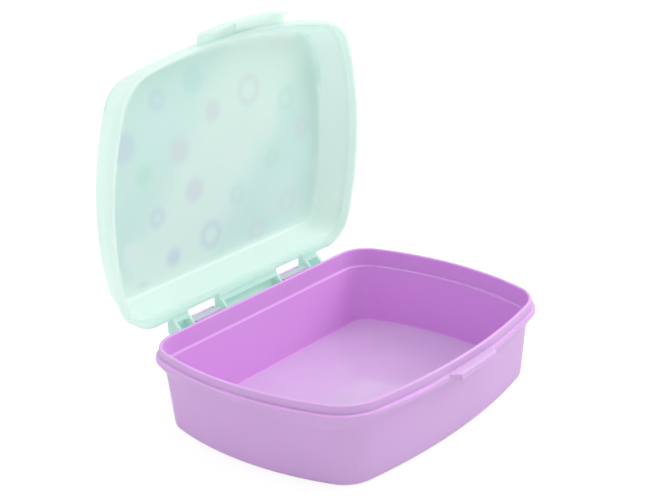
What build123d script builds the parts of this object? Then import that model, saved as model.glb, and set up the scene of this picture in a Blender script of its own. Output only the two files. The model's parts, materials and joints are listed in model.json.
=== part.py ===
from build123d import *

import math
import os

# A child's sandwich box in millimetres: a shallow tub, and a lid that snaps on at the front and swings on two
# moulded rods at the back. The tub stands on z = 0 with its hinge along +X on the back (+Y) side. The lid is
# shown open, resting on its stop, and is drawn in the coordinates that it has when it is shut.

os.makedirs("parts", exist_ok=True)

# Plan outline at the flange's edge
box_length = 170.0
box_width = 124.4
side_bow_radius = 152.3
side_crown = 8.5
front_bow_radius = 298.0
back_corner_radius = 18.2
front_corner_radius = 23.3

# Tub, from the floor up
floor_thickness = 1.8
foot_radius = 3.0
wall_thickness = 1.4
wall_draft = 4.7
wall_inset = 4.0
step_start = 28.4
step_rise = 5.6
step_radius = 3.0
nose_height = 2.4
nose_radius = 1.0
ledge_height = 31.6
ledge_chamfer = 0.4
floor_radius = 1.0
collar_inset = 1.75
collar_thickness = 1.65
collar_height = 4.0
collar_radius = 0.74

# Lid
skirt_clearance = 0.3
skirt_thickness = 1.35
crest_clearance = 0.6
shoulder_thickness = 1.5
shoulder_radius = 1.1
lid_wall_inset = 1.7
lid_wall_thickness = 1.7
lid_draft = 21.5
lid_rise = 13.3
panel_thickness = 1.6
panel_radius = 3.4
panel_inner_radius = 1.7
label_thickness = 0.25
label_margin = 1.2
label_clearance = 0.05

# Hinge
hinge_reach = 6.0
hinge_drop = 0.25
open_angle = 86.33
rod_radius = 2.2
rod_clearance = 0.06
rod_grip = 0.85
cradle_wall = 1.3
cradle_lip_height = 1.75
cradle_lead = 0.5
cradle_side_gap = 2.0
window_corner_radius = 1.2
knuckle_wall = 1.4
knuckle_radius = 3.85
front_wall_gap = 0.35
front_wall_drop = 2.2
front_wall_slope = 29.5
window_inner = 20.6
window_outer = 41.8
hinge_half_length = 52.2
stop_gap = 0.2

# Latch
tongue_reach = 3.3
tongue_half_length = 13.5
tongue_root_half_length = 18.0
tongue_thickness = 1.4
tongue_lip_height = 2.7
tongue_lip_thickness = 1.2
tongue_radius = 0.8
tab_half_length = 28.6
tab_clearance = 0.7
tab_height = 7.6
tab_flare_reach = 3.1
tab_bend_bow_radius = 250.0
tab_edge_bow_radius = 112.0
tab_thickness = 1.2
tab_corner_radius = 3.0
tab_bend_radius = 0.9
tab_lip_corner_radius = 5.5
bead_half_length = 11.0
bead_bite = 0.25
bead_gap = 0.12
bead_nose = 0.3

# Places that follow from the sizes above
flange_bottom = step_start + step_rise
flange_top = flange_bottom + nose_height
collar_top = flange_top + collar_height
step_angle = math.degrees(math.atan2(wall_inset, step_rise))
ledge_inset = wall_inset - (ledge_height - step_start) * math.tan(math.radians(wall_draft)) + wall_thickness
mouth_inset = collar_inset + collar_thickness

skirt_bottom = flange_top + skirt_clearance
shoulder_bottom = collar_top + crest_clearance
shoulder_top = shoulder_bottom + shoulder_thickness
lid_top = shoulder_top + lid_rise
draft_run = math.tan(math.radians(lid_draft))
wall_run = lid_wall_thickness / math.cos(math.radians(lid_draft))
shoulder_inset = lid_wall_inset - shoulder_thickness * draft_run + wall_run
panel_inset = lid_wall_inset + lid_rise * draft_run
panel_bottom = lid_top - panel_thickness
panel_flat_inset = panel_inset + panel_radius * math.tan(math.radians(45 - lid_draft / 2))
label_inset = panel_flat_inset + label_margin

back_edge = box_width / 2
front_edge = -box_width / 2
hinge_y = back_edge + hinge_reach
hinge_z = flange_top - hinge_drop
cradle_radius = rod_radius + rod_clearance + cradle_wall
plate_top = hinge_z + knuckle_radius
plate_bottom = plate_top - knuckle_wall

# The hinge strip's front wall slopes down and back from its heel; the stop meets the tub's edge when open
slope = math.radians(front_wall_slope)
heel = (back_edge + front_wall_gap, flange_top + front_wall_gap)
toe = (heel[0] + front_wall_drop * math.sin(slope), heel[1] - front_wall_drop * math.cos(slope))
swing = math.radians(open_angle)
stop_line = stop_gap - hinge_reach
stop_front = stop_line / math.sin(swing)
stop_back = (stop_line - knuckle_radius * math.cos(swing)) / math.sin(swing)

# The tab clears the tongue at its bend, and flares out from there to its free edge
tab_low = plate_top - tab_height
tab_bend_reach = tongue_reach + tab_clearance + tab_thickness
tab_reach = tab_bend_reach + tab_flare_reach
flare_run = tab_flare_reach / tab_height
tab_wall_run = tab_thickness * math.sqrt(1 + flare_run**2)

# The bead's back lies inside the bowed lip along its whole length
bead_bow_rise = tab_edge_bow_radius - math.sqrt(tab_edge_bow_radius**2 - bead_half_length**2)
bead_back = front_edge - tab_reach + (tab_wall_run + bead_bow_rise) / 2

# How closely an edge must lie at a height to be picked there
match = 0.01

# The lid's own plane, where local coordinates are the ones that a point has with the lid shut
lid_plane = Plane(
    origin=(
        0,
        hinge_y - hinge_y * math.cos(swing) - hinge_z * math.sin(swing),
        hinge_z + hinge_y * math.sin(swing) - hinge_z * math.cos(swing),
    ),
    x_dir=(1, 0, 0),
    z_dir=(0, math.sin(swing), math.cos(swing)),
)
lid_up = Axis(lid_plane.origin, lid_plane.z_dir)
lid_back = Axis(lid_plane.origin, lid_plane.y_dir)
lid_side = Plane(origin=lid_plane.origin, x_dir=lid_plane.y_dir, z_dir=lid_plane.x_dir)
lid_front = Plane(origin=lid_plane.origin, x_dir=lid_plane.x_dir, z_dir=-lid_plane.y_dir)


def outline(inset):
    """Plan outline of the box, drawn in from the flange's edge by an inset."""
    with BuildSketch() as plan:
        with Locations((0, front_edge + front_bow_radius)):
            Circle(front_bow_radius - inset)
        for side in (-1, 1):
            middle = (side * (box_length / 2 - side_bow_radius), side_crown, 0)
            with Locations(Location(middle, (0, 0, 90))):
                Circle(side_bow_radius - inset, mode=Mode.INTERSECT)
        with Locations((0, back_edge - inset)):
            Rectangle(2 * box_length, 2 * box_width, align=(Align.CENTER, Align.MAX), mode=Mode.INTERSECT)
        fillet(plan.vertices().group_by(Axis.Y)[0], radius=front_corner_radius - inset)
        fillet(plan.vertices().group_by(Axis.Y)[-1], radius=back_corner_radius - inset)
    return plan.sketch


def narrowing(inset, height, draft):
    """A body under z = 0 that has the box's outline at its top and narrows downward by a draft.

    It is drawn upward and turned over by a mirror, which keeps its drafted corners exact cones.
    """
    with BuildPart() as body:
        with BuildSketch():
            add(outline(inset))
        extrude(amount=height, taper=draft)
        mirror(about=Plane.XY, mode=Mode.REPLACE)
    return body.part


def edges_at(part, axis, height):
    """Edges of a part that lie at one height along an axis."""
    return part.edges().filter_by_position(axis, height - match, height + match)


def tongue_outline():
    """Plan outline of the latch tongue, with its root under the collar."""
    with BuildSketch() as plan:
        with BuildLine():
            Polyline(
                (-tongue_root_half_length, front_edge + collar_inset),
                (-tongue_half_length, front_edge - tongue_reach),
                (tongue_half_length, front_edge - tongue_reach),
                (tongue_root_half_length, front_edge + collar_inset),
                close=True,
            )
        make_face()
        fillet(plan.vertices().group_by(Axis.Y)[0], radius=tongue_radius)
    return plan.sketch


def tab_outline(reach, bow_radius, half_length):
    """Plan outline of the pull tab at one level, from inside the lid's skirt out to a bowed edge."""
    with BuildSketch() as plan:
        with Locations((0, front_edge - reach + bow_radius)):
            Circle(bow_radius)
        with Locations((0, front_edge + skirt_thickness)):
            Rectangle(2 * half_length, box_width, align=(Align.CENTER, Align.MAX), mode=Mode.INTERSECT)
    return plan.sketch


def tab_body(wall, half_length, top):
    """The pull tab's flaring form, drawn in by a wall from its outer face and cut off at a top level."""
    share = (top - tab_low) / tab_height
    bend_reach = tab_reach + (tab_bend_reach - tab_reach) * share
    bend_bow = 1 / (1 / tab_edge_bow_radius + (1 / tab_bend_bow_radius - 1 / tab_edge_bow_radius) * share)
    with BuildPart() as body:
        with BuildSketch(lid_plane.offset(tab_low)):
            add(tab_outline(tab_reach - wall, tab_edge_bow_radius, half_length))
        with BuildSketch(lid_plane.offset(top)):
            add(tab_outline(bend_reach - wall, bend_bow, half_length))
        loft(ruled=True)
    return body.part


def rounded_tab():
    """The pull tab's outer form, with its bend rounded, and its corners as seen from above and in front."""
    with BuildPart() as body:
        add(tab_body(0, tab_half_length, plate_top))
        corners = edges_at(body, lid_up, (tab_low + plate_top) / 2).sort_by(lid_back)[:2]
        fillet(corners, radius=tab_corner_radius)
        fillet(body.edges().group_by(lid_up)[-1].sort_by(lid_back)[:3], radius=tab_bend_radius)
        with BuildSketch(lid_front) as front_view:
            with Locations((0, tab_low)):
                Rectangle(2 * tab_half_length, 2 * tab_height, align=(Align.CENTER, Align.MIN))
            fillet(front_view.vertices().group_by(Axis.Z)[0], radius=tab_lip_corner_radius)
        extrude(amount=box_width, mode=Mode.INTERSECT)
    return body.part


def window_outline(side):
    """Plan outline of one window in the hinge strip, rounded where it ends at the lid's wall."""
    with BuildSketch() as plan:
        with Locations((side * (window_inner + window_outer) / 2, back_edge)):
            Rectangle(
                window_outer - window_inner,
                hinge_reach + 2 * knuckle_radius,
                align=(Align.CENTER, Align.MIN),
            )
        fillet(plan.vertices().group_by(Axis.Y)[0], radius=window_corner_radius)
    return plan.sketch


# Tub
with BuildPart() as base_tub:
    with Locations((0, 0, step_start)):
        add(narrowing(wall_inset, step_start, wall_draft))
    fillet(base_tub.edges().group_by(Axis.Z)[0], radius=foot_radius)

    # The wall steps outward below the flange
    with Locations((0, 0, flange_bottom)):
        add(narrowing(0, step_rise, step_angle))
    fillet(edges_at(base_tub, Axis.Z, step_start), radius=step_radius)
    with BuildSketch(Plane.XY.offset(flange_bottom)):
        add(outline(0))
    extrude(amount=nose_height)
    fillet(base_tub.edges().group_by(Axis.Z)[-1], radius=nose_radius)

    # Collar inside the lid's skirt
    with BuildSketch(Plane.XY.offset(flange_top)):
        add(outline(collar_inset))
    extrude(amount=collar_height)

    # Inside: drafted up to the ledge, then straight through the collar
    with Locations((0, 0, ledge_height)):
        add(narrowing(ledge_inset, ledge_height - floor_thickness, wall_draft), mode=Mode.SUBTRACT)
    with BuildSketch(Plane.XY.offset(ledge_height)):
        add(outline(mouth_inset))
    extrude(amount=collar_top - ledge_height, mode=Mode.SUBTRACT)
    fillet(base_tub.edges().group_by(Axis.Z)[-1], radius=collar_radius)
    fillet(edges_at(base_tub, Axis.Z, floor_thickness), radius=floor_radius)
    ledge = base_tub.faces().filter_by_position(Axis.Z, ledge_height - match, ledge_height + match)
    chamfer(ledge[0].inner_wires()[0].edges(), length=ledge_chamfer)

    # Latch tongue: a widening of the flange with a lip along its edge
    with BuildSketch(Plane.XY.offset(flange_top)):
        add(tongue_outline())
    extrude(amount=-tongue_thickness)
    with BuildSketch(Plane.XY.offset(flange_top)):
        add(tongue_outline())
        with Locations((0, front_edge - tongue_reach)):
            Rectangle(
                2 * tongue_half_length,
                tongue_lip_thickness,
                align=(Align.CENTER, Align.MIN),
                mode=Mode.INTERSECT,
            )
    extrude(amount=-tongue_lip_height)

    # Snap cradles for the lid's rods
    for side in (-1, 1):
        cradle_length = window_outer - window_inner - 2 * cradle_side_gap
        cradle_middle = side * (window_inner + window_outer) / 2
        with BuildSketch(Plane.YZ.offset(cradle_middle - cradle_length / 2)):
            with Locations((hinge_y, hinge_z)):
                Circle(cradle_radius)
            with Locations((hinge_y, flange_top)):
                Rectangle(
                    hinge_reach + nose_height / 2,
                    flange_top - hinge_z + cradle_radius,
                    align=(Align.MAX, Align.MAX),
                )
            with Locations((hinge_y, hinge_z)):
                Circle(rod_radius + rod_clearance, mode=Mode.SUBTRACT)
                Rectangle(
                    2 * rod_radius * rod_grip,
                    2 * cradle_radius,
                    align=(Align.CENTER, Align.MIN),
                    mode=Mode.SUBTRACT,
                )
            with Locations((hinge_y, hinge_z + cradle_lip_height)):
                Rectangle(
                    4 * cradle_radius,
                    2 * cradle_radius,
                    align=(Align.CENTER, Align.MIN),
                    mode=Mode.SUBTRACT,
                )
            # Lead-in slopes that spread the lips as a rod is pressed in
            for lip in (-1, 1):
                tip = (hinge_y + lip * rod_radius * rod_grip, hinge_z + cradle_lip_height)
                with BuildLine():
                    Polyline(
                        tip,
                        (tip[0] + lip * cradle_lead, tip[1]),
                        (tip[0], tip[1] - cradle_lead),
                        close=True,
                    )
                make_face(mode=Mode.SUBTRACT)
        extrude(amount=cradle_length)
base_tub.part.label = "base_tub"

# Lid, drawn shut
with BuildPart() as lid:
    # Pull tab: a plate off the skirt that turns down into a flaring lip, open at both ends
    add(rounded_tab())
    add(tab_body(tab_wall_run, 2 * tab_half_length, plate_top - tab_thickness), mode=Mode.SUBTRACT)

    # Skirt, shoulder and domed top, first as solid forms
    with BuildSketch(lid_plane.offset(skirt_bottom)):
        add(outline(0))
    extrude(amount=shoulder_top - skirt_bottom)
    fillet(lid.edges().group_by(lid_up)[-1], radius=shoulder_radius)
    with BuildSketch(lid_plane.offset(shoulder_top)):
        add(outline(lid_wall_inset))
    extrude(amount=lid_rise, taper=lid_draft)
    fillet(lid.edges().group_by(lid_up)[-1], radius=panel_radius)

    # Hinge strip and knuckles, first as one solid bar
    with BuildSketch(lid_side.offset(-hinge_half_length)):
        with BuildLine():
            Polyline(
                (hinge_y, plate_top),
                (back_edge - skirt_thickness / 2, plate_top),
                (back_edge - skirt_thickness / 2, heel[1]),
                heel,
                toe,
                (hinge_y, hinge_z + stop_front),
                (hinge_y + knuckle_radius, hinge_z + stop_back),
                (hinge_y + knuckle_radius, hinge_z),
            )
            RadiusArc((hinge_y + knuckle_radius, hinge_z), (hinge_y, plate_top), -knuckle_radius)
        make_face()
    extrude(amount=2 * hinge_half_length)

    # Each knuckle is cored from below, and keeps a rib at both ends
    core_spans = (
        (-hinge_half_length, -window_outer),
        (-window_inner, window_inner),
        (window_outer, hinge_half_length),
    )
    wall_slant = (math.cos(slope) * knuckle_wall, math.sin(slope) * knuckle_wall)
    for low, high in core_spans:
        with BuildSketch(lid_side.offset(low + knuckle_wall)):
            with BuildLine():
                rise = plate_bottom - heel[1] - wall_slant[1]
                Polyline(
                    (hinge_y, plate_bottom),
                    (heel[0] + wall_slant[0] - rise * math.tan(slope), plate_bottom),
                    (toe[0] + wall_slant[0], toe[1] + wall_slant[1]),
                    toe,
                    (toe[0], hinge_z + stop_back - knuckle_wall),
                    (hinge_y + knuckle_radius - knuckle_wall, hinge_z + stop_back - knuckle_wall),
                    (hinge_y + knuckle_radius - knuckle_wall, hinge_z),
                )
                RadiusArc(
                    (hinge_y + knuckle_radius - knuckle_wall, hinge_z),
                    (hinge_y, plate_bottom),
                    knuckle_wall - knuckle_radius,
                )
            make_face()
        extrude(amount=high - low - 2 * knuckle_wall, mode=Mode.SUBTRACT)

    # Windows over the cradles, and the rods that lie across them
    for side in (-1, 1):
        window_length = window_outer - window_inner
        window_middle = side * (window_inner + window_outer) / 2
        with BuildSketch(lid_plane.offset(plate_top)):
            add(window_outline(side))
        extrude(amount=-4 * knuckle_radius, mode=Mode.SUBTRACT)
        with BuildSketch(lid_side.offset(window_middle - window_length / 2)):
            with Locations((back_edge, plate_bottom)):
                Rectangle(2 * skirt_thickness, plate_bottom - skirt_bottom, align=(Align.CENTER, Align.MAX))
        extrude(amount=window_length, mode=Mode.SUBTRACT)
        with BuildSketch(lid_side.offset(window_middle - window_length / 2 - knuckle_wall / 2)):
            with Locations((hinge_y, hinge_z)):
                Circle(rod_radius)
        extrude(amount=window_length + knuckle_wall)

    # Room for the tub under the skirt, and the inside of the lid
    with BuildSketch(lid_plane.offset(skirt_bottom)):
        add(outline(-skirt_clearance))
    extrude(amount=-2 * tab_height, mode=Mode.SUBTRACT)
    with BuildSketch(lid_plane.offset(skirt_bottom)):
        add(outline(skirt_thickness))
    extrude(amount=shoulder_bottom - skirt_bottom, mode=Mode.SUBTRACT)
    with BuildSketch(lid_plane.offset(shoulder_bottom)):
        add(outline(shoulder_inset))
    extrude(amount=panel_bottom - shoulder_bottom, taper=lid_draft, mode=Mode.SUBTRACT)
    fillet(edges_at(lid, lid_up, panel_bottom), radius=panel_inner_radius)

    # Bead inside the tab, which snaps under the tongue's lip
    with BuildSketch(lid_side.offset(-bead_half_length)):
        bead_top = flange_top - tongue_lip_height - bead_gap
        bead_tip = front_edge - tongue_reach + bead_bite
        with BuildLine():
            Polyline(
                (bead_back + (bead_top - tab_low) * flare_run, bead_top),
                (bead_tip, bead_top),
                (bead_tip, bead_top - bead_nose),
                (bead_tip - bead_nose, tab_low),
                (bead_back, tab_low),
                close=True,
            )
        make_face()
    extrude(amount=2 * bead_half_length)

    # Seat of the printed film in the top
    with BuildSketch(lid_plane.offset(lid_top)):
        add(outline(label_inset))
    extrude(amount=-label_thickness, mode=Mode.SUBTRACT)
lid.part.label = "lid"

with BuildPart() as lid_label:
    with BuildSketch(lid_plane.offset(lid_top - label_thickness)):
        add(outline(label_inset + label_clearance))
    extrude(amount=label_thickness)
lid_label.part.label = "lid_label"

export_step(base_tub.part, "parts/base_tub.step")
export_step(lid.part, "parts/lid.step")
export_step(lid_label.part, "parts/lid_label.step")
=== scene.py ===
import json
import math

import bpy
from mathutils import Matrix, Vector


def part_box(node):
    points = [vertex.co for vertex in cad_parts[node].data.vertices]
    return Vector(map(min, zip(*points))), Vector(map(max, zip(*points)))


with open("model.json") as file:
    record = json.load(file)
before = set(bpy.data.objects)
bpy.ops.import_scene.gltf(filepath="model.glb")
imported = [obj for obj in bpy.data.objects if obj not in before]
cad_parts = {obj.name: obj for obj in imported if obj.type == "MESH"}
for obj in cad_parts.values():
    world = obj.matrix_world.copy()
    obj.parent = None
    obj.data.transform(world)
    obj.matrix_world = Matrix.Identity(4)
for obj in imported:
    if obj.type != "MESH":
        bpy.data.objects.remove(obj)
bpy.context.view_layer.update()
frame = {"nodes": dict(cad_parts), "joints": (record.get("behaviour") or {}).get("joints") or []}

# A child's sandwich box in satin moulded plastic: a lavender tub, a translucent mint lid that stands open on
# its hinge, and a printed film moulded into the lid's top, which shows faintly through to the inside.

MM = 0.001

hinge = frame["joints"][0]
hinge_point = Vector(hinge["pos_m"])
shut_angle = math.radians(hinge["range_deg"][1])
shut_turn = Matrix.Rotation(shut_angle, 3, "X")
tub_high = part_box("base_tub")[1]

# Colours of the plastics and inks, as linear values
WHITE = (1, 1, 1, 1)
LAVENDER = (0.665, 0.460, 0.735, 1)
LAVENDER_DEEP = (0.635, 0.420, 0.710, 1)
# Painted glow: a lighter, stronger lavender for the inner walls, standing in for light that bounces and
# shines through inside the tub
LAVENDER_PAINTED_GLOW = (0.785, 0.415, 0.850, 1)
LAVENDER_THROUGH = (0.800, 0.400, 0.880, 1)
MINT = (0.835, 0.960, 0.905, 1)
MINT_DEEP = (0.800, 0.940, 0.875, 1)
# Painted shade: a deeper green for the hinge knuckles, where shade falls in their hollows
MINT_PAINTED_SHADE = (0.730, 0.925, 0.860, 1)
FILM_BASE = (0.810, 0.955, 0.890, 1)
FILM_CLEAR = (0.95, 1, 0.98, 1)
INKS = (
    (0.430, 0.740, 0.740, 1),
    (0.480, 0.560, 0.780, 1),
    (0.700, 0.640, 0.780, 1),
    (0.380, 0.740, 0.620, 1),
    (0.900, 0.940, 0.920, 1),
)

# Light inside the plastics: how far each colour of it spreads, as shares of a depth in millimetres
PLASTIC_INDEX = 1.49
LAVENDER_SPREAD = (0.90, 0.75, 0.95)
LAVENDER_SCATTER = 0.35
LAVENDER_DEPTH = 1.8
MINT_SPREAD = (0.85, 1.0, 0.94)
MINT_SCATTER = 0.60
MINT_DEPTH = 3.0

# Sizes of the patterns on every surface, in millimetres, and the stretches of the noise that they use
SATIN_GRAIN = 0.55
ORANGE_PEEL = 2.6
PEEL_DETAIL = 1.0
COLOUR_CLOUD = 38.0
CLOUD_DETAIL = 3.0
CLOUD_SPAN = (0.35, 0.65)
SMUDGE_DETAIL = 4.0
SMUDGE_CRUMBLE = 0.6
SMUDGE_SPAN = (0.30, 0.70)


class Finish:
    """A node material under construction, with short ways to add and join its nodes."""

    def __init__(self, name):
        self.material = bpy.data.materials.new(name)
        self.material.use_nodes = True
        self.tree = self.material.node_tree
        self.tree.nodes.clear()
        self.output = self.node("ShaderNodeOutputMaterial")
        self.place = self.node("ShaderNodeTexCoord").outputs["Object"]

    def node(self, kind, **settings):
        made = self.tree.nodes.new(kind)
        for name, value in settings.items():
            setattr(made, name, value)
        return made

    def feed(self, socket, value):
        """Links a socket to another one, or gives it a plain value."""
        if isinstance(value, bpy.types.NodeSocket):
            self.tree.links.new(value, socket)
        else:
            socket.default_value = value

    def math(self, operation, *values, clamp=False):
        made = self.node("ShaderNodeMath", operation=operation, use_clamp=clamp)
        for socket, value in zip(made.inputs, values):
            self.feed(socket, value)
        return made.outputs[0]

    def blend(self, share, first, second):
        """The first colour at a share of 0, the second at 1."""
        made = self.node("ShaderNodeMix", data_type="RGBA", blend_type="MIX")
        self.feed(made.inputs["Factor"], share)
        self.feed(made.inputs["A"], first)
        self.feed(made.inputs["B"], second)
        return made.outputs["Result"]

    def between(self, value, span, result=(0.0, 1.0)):
        """Eases from the first result to the second while the value crosses the span."""
        made = self.node("ShaderNodeMapRange", interpolation_type="SMOOTHSTEP")
        for socket, number in zip(made.inputs, (value, *span, *result)):
            self.feed(socket, number)
        return made.outputs[0]

    def noise(self, size, detail=2.0, roughness=0.5):
        """Noise whose lumps are about one size, in millimetres."""
        made = self.node("ShaderNodeTexNoise")
        self.feed(made.inputs["Vector"], self.place)
        self.feed(made.inputs["Scale"], 1 / (size * MM))
        self.feed(made.inputs["Detail"], detail)
        self.feed(made.inputs["Roughness"], roughness)
        return made.outputs[0]

    def mapped(self, location=(0, 0, 0), turn=(0, 0, 0), scale=(1, 1, 1), place=None):
        made = self.node("ShaderNodeMapping")
        self.feed(made.inputs["Vector"], place or self.place)
        self.feed(made.inputs["Location"], location)
        self.feed(made.inputs["Rotation"], turn)
        self.feed(made.inputs["Scale"], scale)
        return made.outputs[0]

    def split(self, vector):
        made = self.node("ShaderNodeSeparateXYZ")
        self.feed(made.inputs[0], vector)
        return made.outputs

    def bump(self, height, depth, strength=1.0, onto=None):
        """Relief with a depth in millimetres, on top of another relief where one is given."""
        made = self.node("ShaderNodeBump")
        self.feed(made.inputs["Height"], height)
        self.feed(made.inputs["Distance"], depth * MM)
        self.feed(made.inputs["Strength"], strength)
        if onto is not None:
            self.feed(made.inputs["Normal"], onto)
        return made.outputs[0]

    def clouded(self, tint, deeper_tint, most):
        """Colour that drifts in wide clouds from one tint to a share of a deeper one."""
        cloud = self.noise(COLOUR_CLOUD, detail=CLOUD_DETAIL)
        return self.blend(self.between(cloud, CLOUD_SPAN, (0.0, most)), tint, deeper_tint)

    def smudged(self, size, result):
        """Roughness that wanders between two values, as handling leaves it."""
        smudge = self.noise(size, detail=SMUDGE_DETAIL, roughness=SMUDGE_CRUMBLE)
        return self.between(smudge, SMUDGE_SPAN, result)

    def orange_peel(self, depth):
        """Slow waves of a moulded surface."""
        return self.bump(self.noise(ORANGE_PEEL, detail=PEEL_DETAIL), depth)

    def satin(self, depth, strength, onto):
        """Fine grain of a satin mould."""
        return self.bump(self.noise(SATIN_GRAIN), depth, strength=strength, onto=onto)

    def plastic(self, colour, roughness, normal, **numbers):
        made = self.node("ShaderNodeBsdfPrincipled")
        self.feed(made.inputs["Base Color"], colour)
        self.feed(made.inputs["Roughness"], roughness)
        self.feed(made.inputs["Normal"], normal)
        for name, value in numbers.items():
            self.feed(made.inputs[name.replace("_", " ")], value)
        return made.outputs[0]

    def lit_through(self, solid, share, colour, normal):
        """Plastic with a share of light that comes through from its other side."""
        glow = self.node("ShaderNodeBsdfTranslucent")
        self.feed(glow.inputs["Color"], colour)
        self.feed(glow.inputs["Normal"], normal)
        return self.mix_shaders(share, solid, glow.outputs[0])

    def mix_shaders(self, share, first, second):
        made = self.node("ShaderNodeMixShader")
        self.feed(made.inputs[0], share)
        self.feed(made.inputs[1], first)
        self.feed(made.inputs[2], second)
        return made.outputs[0]

    def done(self, surface):
        self.feed(self.output.inputs["Surface"], surface)
        return self.material


# The tub's finish. Inside and on the floor, a polish is taken off the roughness. Depths are in millimetres.
TUB_DEEPER = 0.45
TUB_ROUGHNESS = 0.40
INSIDE_POLISH = 0.05
FLOOR_POLISH = 0.25
TUB_SMUDGE = 14.0
TUB_SMUDGE_RANGE = (-0.02, 0.03)
TUB_PEEL = 0.010
TUB_GRAIN = 0.012
OUTSIDE_GRAIN_STRENGTH = 0.5
INSIDE_GRAIN_LOSS = 0.35
TUB_REFLECTION = 0.5
FLOOR_REFLECTION_GAIN = 0.35
WALL_THROUGH = 0.22
FLOOR_THROUGH_CHANGE = -0.18

# A face is an inner one where it turns towards a point above the box, and a level one where it looks up
INNER_POINT_HEIGHTS = 3
INNER_SPAN = (0.012, -0.012)
LEVEL_SPAN = (0.96, 0.995)

# Handling scratches on the floor, in millimetres and radians
SCRATCH_WIDTH = 0.7
SCRATCH_LENGTH = 26.0
SCRATCH_TURNS = (0.35, -0.95)
SCRATCH_NOISE_DETAIL = 1.0
SCRATCH_SPAN = (0.70, 0.78)
SCRATCH_DEPTH = 0.020
SCRATCH_STRENGTH = 0.5


def inner_face(finish):
    """1 on faces that look in towards the box's middle or up from its floor, and 0 outside."""
    shape = finish.node("ShaderNodeNewGeometry")
    product = finish.node("ShaderNodeVectorMath", operation="DOT_PRODUCT")
    finish.feed(product.inputs[0], shape.outputs["Normal"])
    finish.feed(product.inputs[1], finish.mapped(location=(0, 0, -INNER_POINT_HEIGHTS * tub_high.z)))
    return finish.between(product.outputs["Value"], INNER_SPAN)


def level_face(finish):
    """1 on flat faces that look straight up, and 0 on walls."""
    shape = finish.node("ShaderNodeNewGeometry")
    return finish.between(finish.split(shape.outputs["Normal"])[2], LEVEL_SPAN)


def fine_scratches(finish):
    """1 along the short handling scratches on a floor, in two crossing directions, and 0 beside them."""
    scale = (1 / SCRATCH_LENGTH, 1 / SCRATCH_WIDTH, 1 / SCRATCH_WIDTH)
    marks = []
    for turn in SCRATCH_TURNS:
        streak = finish.node("ShaderNodeTexNoise")
        finish.feed(streak.inputs["Vector"], finish.mapped(turn=(0, 0, turn), scale=scale))
        finish.feed(streak.inputs["Scale"], 1 / MM)
        finish.feed(streak.inputs["Detail"], SCRATCH_NOISE_DETAIL)
        marks.append(finish.between(streak.outputs[0], SCRATCH_SPAN))
    return finish.math("MAXIMUM", *marks)


def lavender_plastic():
    """Satin plastic that lets some light through: polished on the floor, with a stronger grain outside, and
    a painted glow on its inner walls.
    """
    finish = Finish("lavender_plastic")
    inside = inner_face(finish)
    base = finish.math("MULTIPLY", inside, level_face(finish))
    walls = finish.math("SUBTRACT", inside, base)
    # The inner walls, floor aside, take a painted glow: a lighter, stronger lavender for the light inside
    # the tub
    colour = finish.blend(walls, finish.clouded(LAVENDER, LAVENDER_DEEP, TUB_DEEPER), LAVENDER_PAINTED_GLOW)

    inside_shine = finish.math("MULTIPLY", inside, INSIDE_POLISH)
    floor_shine = finish.math("MULTIPLY", base, FLOOR_POLISH)
    polish = finish.math("SUBTRACT", TUB_ROUGHNESS, finish.math("ADD", inside_shine, floor_shine))
    roughness = finish.math("ADD", polish, finish.smudged(TUB_SMUDGE, TUB_SMUDGE_RANGE))

    grain_loss = finish.math("MULTIPLY", inside, INSIDE_GRAIN_LOSS)
    grain_strength = finish.math("SUBTRACT", OUTSIDE_GRAIN_STRENGTH, grain_loss)
    grain = finish.satin(TUB_GRAIN, grain_strength, finish.orange_peel(TUB_PEEL))
    scratches = finish.math("MULTIPLY", fine_scratches(finish), base)
    unscratched = finish.math("SUBTRACT", 1.0, scratches)
    normal = finish.bump(unscratched, SCRATCH_DEPTH, strength=SCRATCH_STRENGTH, onto=grain)

    solid = finish.plastic(
        colour,
        roughness,
        normal,
        IOR=PLASTIC_INDEX,
        Subsurface_Weight=LAVENDER_SCATTER,
        Subsurface_Radius=LAVENDER_SPREAD,
        Subsurface_Scale=LAVENDER_DEPTH * MM,
        Specular_IOR_Level=finish.math("MULTIPLY_ADD", base, FLOOR_REFLECTION_GAIN, TUB_REFLECTION),
    )
    through = finish.math("MULTIPLY_ADD", base, FLOOR_THROUGH_CHANGE, WALL_THROUGH)
    return finish.done(finish.lit_through(solid, through, LAVENDER_THROUGH, normal))


# The print: dots and rings over broad bands, with sizes in millimetres or in shares of a dot's cell.
# The wave step turns a band's width into the scale of the wave texture.
BAND_WIDTH = 62.0
WAVE_STEP = 0.314
BAND_WAVING = 2.4
BAND_INK = 0.55
BAND_MIDDLE = 0.5
DOT_CELL = 25.0
DOT_RADIUS = 0.17
DOT_SPREAD = 0.12
DOT_SCATTER = 0.35
DOT_TURN = 0.42
DOT_SOFTNESS = 0.3
RING_WIDTH = 0.10
RING_CHOICE = 0.62


def shut_place(finish):
    """Coordinates that a point of the lid has when the lid is shut, so that the print lies square on it."""
    return finish.mapped(location=hinge_point - shut_turn @ hinge_point, turn=(shut_angle, 0, 0))


def shut_box(node):
    """Lowest and highest corners of a lid node in the lid's shut place."""
    vertices = frame["nodes"][node].data.vertices
    points = [shut_turn @ (vertex.co - hinge_point) + hinge_point for vertex in vertices]
    low = Vector(min(p[axis] for p in points) for axis in range(3))
    high = Vector(max(p[axis] for p in points) for axis in range(3))
    return low, high


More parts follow.
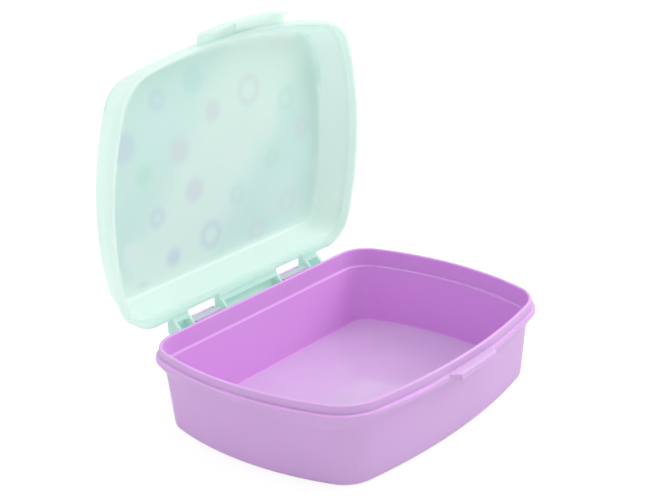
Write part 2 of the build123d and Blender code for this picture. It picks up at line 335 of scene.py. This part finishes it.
def waving_bands(finish, flat, softness):
    """The film's ground: its base colour with broad bands of the first ink."""
    wave = finish.node("ShaderNodeTexWave", wave_type="BANDS", bands_direction="DIAGONAL")
    finish.feed(wave.inputs["Vector"], flat)
    finish.feed(wave.inputs["Scale"], 1 / (BAND_WIDTH * MM) * WAVE_STEP)
    finish.feed(wave.inputs["Distortion"], BAND_WAVING)
    finish.feed(wave.inputs["Detail"], 0.0)
    bands = finish.between(wave.outputs["Fac"], (BAND_MIDDLE - softness, BAND_MIDDLE + softness))
    return finish.blend(bands, FILM_BASE, finish.blend(BAND_INK, FILM_BASE, INKS[0]))


def ink_choice(finish, value):
    """One of the inks, picked by a value from 0 to 1."""
    ink = finish.node("ShaderNodeValToRGB")
    ink.color_ramp.interpolation = "CONSTANT"
    while len(ink.color_ramp.elements) < len(INKS):
        ink.color_ramp.elements.new(0.5)
    for number, (stop, colour) in enumerate(zip(ink.color_ramp.elements, INKS)):
        stop.position = number / len(INKS)
        stop.color = colour
    finish.feed(ink.inputs["Fac"], value)
    return ink.outputs["Color"]


def printed_dots(finish, place, softness):
    """Colour of the film's print: pastel dots and rings scattered over broad waving bands."""
    flat = finish.mapped(place=place, scale=(1, 1, 0))
    ground = waving_bands(finish, flat, softness)
    cells = finish.node("ShaderNodeTexVoronoi", voronoi_dimensions="2D", feature="F1")
    finish.feed(cells.inputs["Vector"], finish.mapped(place=flat, turn=(0, 0, DOT_TURN)))
    finish.feed(cells.inputs["Scale"], 1 / (DOT_CELL * MM))
    finish.feed(cells.inputs["Randomness"], DOT_SCATTER)
    for_ink, for_radius, for_ring = finish.split(cells.outputs["Color"])

    radius = finish.math("MULTIPLY_ADD", for_radius, DOT_SPREAD, DOT_RADIUS)
    edge = finish.math("SUBTRACT", radius, cells.outputs["Distance"])
    edge_span = (-softness * DOT_SOFTNESS, softness * DOT_SOFTNESS)
    dot = finish.between(edge, edge_span)
    hole = finish.between(finish.math("SUBTRACT", edge, RING_WIDTH), edge_span)
    hollow = finish.math("MULTIPLY", hole, finish.math("GREATER_THAN", for_ring, RING_CHOICE))
    mark = finish.math("SUBTRACT", dot, hollow, clamp=True)
    return finish.blend(mark, ground, ink_choice(finish, for_ink))


# The lid's finish, with the print behind it, pale and blurred. Sizes and depths are in millimetres.
LID_DEEPER = 0.5
LID_SMUDGE = 16.0
LID_ROUGHNESS = (0.30, 0.42)
LID_PEEL = 0.012
LID_GRAIN = 0.008
LID_GRAIN_STRENGTH = 0.5
LID_THROUGH = 0.48
PRINT_SHOW = 0.30
PRINT_BLUR = 0.35

# The knuckles' painted shade: a deeper green below a height over the hinge's axis in the open lid
KNUCKLE_FADE = (7.7, 7.3)

# Where the print shows through: the film's rounded outline, and heights from the film's underside, shut
FILM_SQUARENESS = 7.0
FILM_EDGE = (1.10, 0.80)
PANEL_FLOOR = (-3.5, -2.5)
PANEL_ROOF = (-0.5, -1.1)


def span_from(start, span):
    """A span in millimetres, set on a place in metres."""
    return tuple(start + number * MM for number in span)


def under_film(finish, place):
    """1 where the printed film lies behind the lid's panel, and 0 around it."""
    low, high = shut_box("lid_label")
    middle, half = (low + high) / 2, (high - low) / 2
    x, y, z = finish.split(place)
    from_middle = finish.math("SUBTRACT", y, middle.y)
    powers = []
    for offset, reach in ((x, half.x), (from_middle, half.y)):
        share = finish.math("ABSOLUTE", finish.math("DIVIDE", offset, reach))
        powers.append(finish.math("POWER", share, FILM_SQUARENESS))
    outline = finish.between(finish.math("ADD", *powers), FILM_EDGE)
    above_floor = finish.between(z, span_from(low.z, PANEL_FLOOR))
    below_roof = finish.between(z, span_from(low.z, PANEL_ROOF))
    return finish.math("MULTIPLY", outline, finish.math("MULTIPLY", above_floor, below_roof))


def mint_plastic():
    """Translucent satin plastic, with the film's print showing through the panel, blurred and pale, and
    painted shade on the knuckles.
    """
    finish = Finish("mint_plastic")
    place = shut_place(finish)
    height = finish.split(finish.place)[2]
    # Painted shade: the knuckles, low by the hinge's axis, take a deeper green
    knuckle_shade = finish.between(height, span_from(hinge_point.z, KNUCKLE_FADE))
    body = finish.blend(knuckle_shade, finish.clouded(MINT, MINT_DEEP, LID_DEEPER), MINT_PAINTED_SHADE)
    show = finish.math("MULTIPLY", under_film(finish, place), PRINT_SHOW)
    colour = finish.blend(show, body, printed_dots(finish, place, PRINT_BLUR))
    normal = finish.satin(LID_GRAIN, LID_GRAIN_STRENGTH, finish.orange_peel(LID_PEEL))
    solid = finish.plastic(
        colour,
        finish.smudged(LID_SMUDGE, LID_ROUGHNESS),
        normal,
        IOR=PLASTIC_INDEX,
        Subsurface_Weight=MINT_SCATTER,
        Subsurface_Radius=MINT_SPREAD,
        Subsurface_Scale=MINT_DEPTH * MM,
    )
    return finish.done(finish.lit_through(solid, LID_THROUGH, colour, normal))


# The film's finish: a print with faint fibres under a clear skin. Sizes and depths are in millimetres.
PRINT_SOFTNESS = 0.035
FILM_FIBRE = 0.35
FIBRE_SPAN = (0.30, 0.70)
FIBRE_WHITE = 0.10
FILM_SMUDGE = 18.0
FILM_ROUGHNESS = (0.18, 0.24)
FILM_PEEL = 0.002
FILM_INDEX = 1.5
FILM_COAT = 0.25
FILM_COAT_ROUGHNESS = 0.15
FILM_PALENESS = 0.70
FILM_SOLID = 0.55


def printed_film():
    """The film: crisp print on its outer face under a smooth clear skin, and a clear underside.

    The underside lies on the lid's seat, so a print there would fight with the seat's own surface.
    """
    finish = Finish("printed_film")
    place = shut_place(finish)
    low, high = shut_box("lid_label")
    outer = finish.math("GREATER_THAN", finish.split(place)[2], (low.z + high.z) / 2)
    fibre = finish.between(finish.noise(FILM_FIBRE), FIBRE_SPAN, (0.0, FIBRE_WHITE))
    inked = finish.blend(fibre, printed_dots(finish, place, PRINT_SOFTNESS), WHITE)
    solid = finish.plastic(
        inked,
        finish.smudged(FILM_SMUDGE, FILM_ROUGHNESS),
        finish.orange_peel(FILM_PEEL),
        IOR=FILM_INDEX,
        Coat_Weight=FILM_COAT,
        Coat_Roughness=FILM_COAT_ROUGHNESS,
    )
    clear = finish.node("ShaderNodeBsdfTransparent")
    tint = finish.blend(FILM_PALENESS, inked, FILM_CLEAR)
    finish.feed(clear.inputs["Color"], finish.blend(outer, WHITE, tint))
    share = finish.math("MULTIPLY", outer, FILM_SOLID)
    return finish.done(finish.mix_shaders(share, clear.outputs[0], solid))


def dress(node, material):
    """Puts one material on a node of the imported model."""
    mesh = frame["nodes"][node].data
    mesh.materials.clear()
    mesh.materials.append(material)


# Studio: a white floor that keeps only a soft shadow, three soft lamps and the camera, in metres
FLOOR_SIZE = 8.0
FLOOR_DROP = 0.2 * MM
FLOOR_WHITE = (0.90, 0.90, 0.90, 1)
WHITE_GLOW = 1.06
SHADOW_SHARE = 0.20
WORLD_LIGHT = 0.89
WORLD_SHOWN = 1.0
LAMP_TARGET = Vector((0, 0.02, 0.05))

# Each lamp's place, width in metres and power in watts
LAMPS = {
    "key_lamp": ((1.00, -0.80, 0.85), 0.9, 9.5),
    "top_lamp": ((0.10, -0.20, 1.60), 1.0, 5.0),
    "back_lamp": ((-0.30, 1.25, 1.00), 1.1, 5.0),
}

# The camera as worked out from the photograph: pixels, degrees, a sensor in millimetres, and metres
PHOTO_WIDTH, PHOTO_HEIGHT = 650, 500
SENSOR_WIDTH = 36.0
FOCAL_PIXELS = 1323.8
PRINCIPAL_POINT = (331.3, 306.1)
CAMERA_AZIMUTH, CAMERA_ELEVATION, CAMERA_ROLL = -50.50, 23.295, -2.0
CAMERA_DISTANCE = 625.8 * MM
CAMERA_TARGET = Vector((7.08, 22.23, 39.06)) * MM
NEAREST, FARTHEST = 0.01, 50.0


def seen_directly(tree):
    """1 for camera, glossy and transmission rays."""
    path = tree.nodes.new("ShaderNodeLightPath")
    total = path.outputs["Is Camera Ray"]
    for name in ("Is Glossy Ray", "Is Transmission Ray"):
        larger = tree.nodes.new("ShaderNodeMath")
        larger.operation = "MAXIMUM"
        tree.links.new(total, larger.inputs[0])
        tree.links.new(path.outputs[name], larger.inputs[1])
        total = larger.outputs[0]
    return total


def studio_floor():
    """A floor that looks white but for a share of its shadow, and lights the box as a matt one."""
    mesh = bpy.data.meshes.new("studio_floor")
    half = FLOOR_SIZE / 2
    corners = [(-half, -half), (half, -half), (half, half), (-half, half)]
    mesh.from_pydata([(x, y, -FLOOR_DROP) for x, y in corners], [], [(0, 1, 2, 3)])
    floor = bpy.data.objects.new("studio_floor", mesh)
    bpy.context.scene.collection.objects.link(floor)
    finish = Finish("white_floor")
    matt = finish.node("ShaderNodeBsdfDiffuse")
    finish.feed(matt.inputs["Color"], FLOOR_WHITE)
    white = finish.node("ShaderNodeEmission")
    finish.feed(white.inputs["Color"], WHITE)
    finish.feed(white.inputs["Strength"], WHITE_GLOW)
    shadowed = finish.mix_shaders(SHADOW_SHARE, white.outputs[0], matt.outputs[0])
    surface = finish.mix_shaders(seen_directly(finish.tree), matt.outputs[0], shadowed)
    mesh.materials.append(finish.done(surface))


def studio_world():
    """An even light from all round, seen as plain white."""
    world = bpy.data.worlds.new("studio_world")
    world.use_nodes = True
    tree = world.node_tree
    tree.nodes.clear()
    mix = tree.nodes.new("ShaderNodeMixShader")
    tree.links.new(seen_directly(tree), mix.inputs[0])
    for socket, strength in ((mix.inputs[1], WORLD_LIGHT), (mix.inputs[2], WORLD_SHOWN)):
        background = tree.nodes.new("ShaderNodeBackground")
        background.inputs["Color"].default_value = WHITE
        background.inputs["Strength"].default_value = strength
        tree.links.new(background.outputs[0], socket)
    output = tree.nodes.new("ShaderNodeOutputWorld")
    tree.links.new(mix.outputs[0], output.inputs["Surface"])
    bpy.context.scene.world = world


def studio_lamp(name, place, size, power):
    """A round soft lamp that points at the box."""
    data = bpy.data.lights.new(name, "AREA")
    data.shape = "DISK"
    data.size = size
    data.energy = power
    lamp = bpy.data.objects.new(name, data)
    lamp.location = place
    lamp.rotation_mode = "QUATERNION"
    lamp.rotation_quaternion = (LAMP_TARGET - Vector(place)).to_track_quat("-Z", "Y")
    bpy.context.scene.collection.objects.link(lamp)


def studio_camera():
    """The photograph's camera: its axes from azimuth, elevation and roll, its lens from the pixels."""
    azimuth, elevation, roll = (math.radians(a) for a in (CAMERA_AZIMUTH, CAMERA_ELEVATION, CAMERA_ROLL))
    back = Vector(
        (
            math.sin(azimuth) * math.cos(elevation),
            -math.cos(azimuth) * math.cos(elevation),
            math.sin(elevation),
        )
    )
    level = Vector((math.cos(azimuth), math.sin(azimuth), 0))
    upward = back.cross(level)
    right = level * math.cos(roll) + upward * math.sin(roll)
    up = upward * math.cos(roll) - level * math.sin(roll)
    data = bpy.data.cameras.new("studio_camera")
    data.sensor_fit = "HORIZONTAL"
    data.sensor_width = SENSOR_WIDTH
    data.lens = FOCAL_PIXELS * SENSOR_WIDTH / PHOTO_WIDTH
    data.shift_x = (PHOTO_WIDTH / 2 - PRINCIPAL_POINT[0]) / PHOTO_WIDTH
    data.shift_y = (PRINCIPAL_POINT[1] - PHOTO_HEIGHT / 2) / PHOTO_WIDTH
    data.clip_start = NEAREST
    data.clip_end = FARTHEST
    camera = bpy.data.objects.new("studio_camera", data)
    place = Matrix.Translation(CAMERA_TARGET + back * CAMERA_DISTANCE)
    camera.matrix_world = place @ Matrix((right, up, back)).transposed().to_4x4()
    bpy.context.scene.collection.objects.link(camera)
    bpy.context.scene.camera = camera


dress("base_tub", lavender_plastic())
dress("lid", mint_plastic())
dress("lid_label", printed_film())

studio_floor()
studio_world()
for lamp_name, (lamp_place, lamp_size, lamp_power) in LAMPS.items():
    studio_lamp(lamp_name, lamp_place, lamp_size, lamp_power)
studio_camera()
bpy.context.scene.view_settings.view_transform = "Standard"
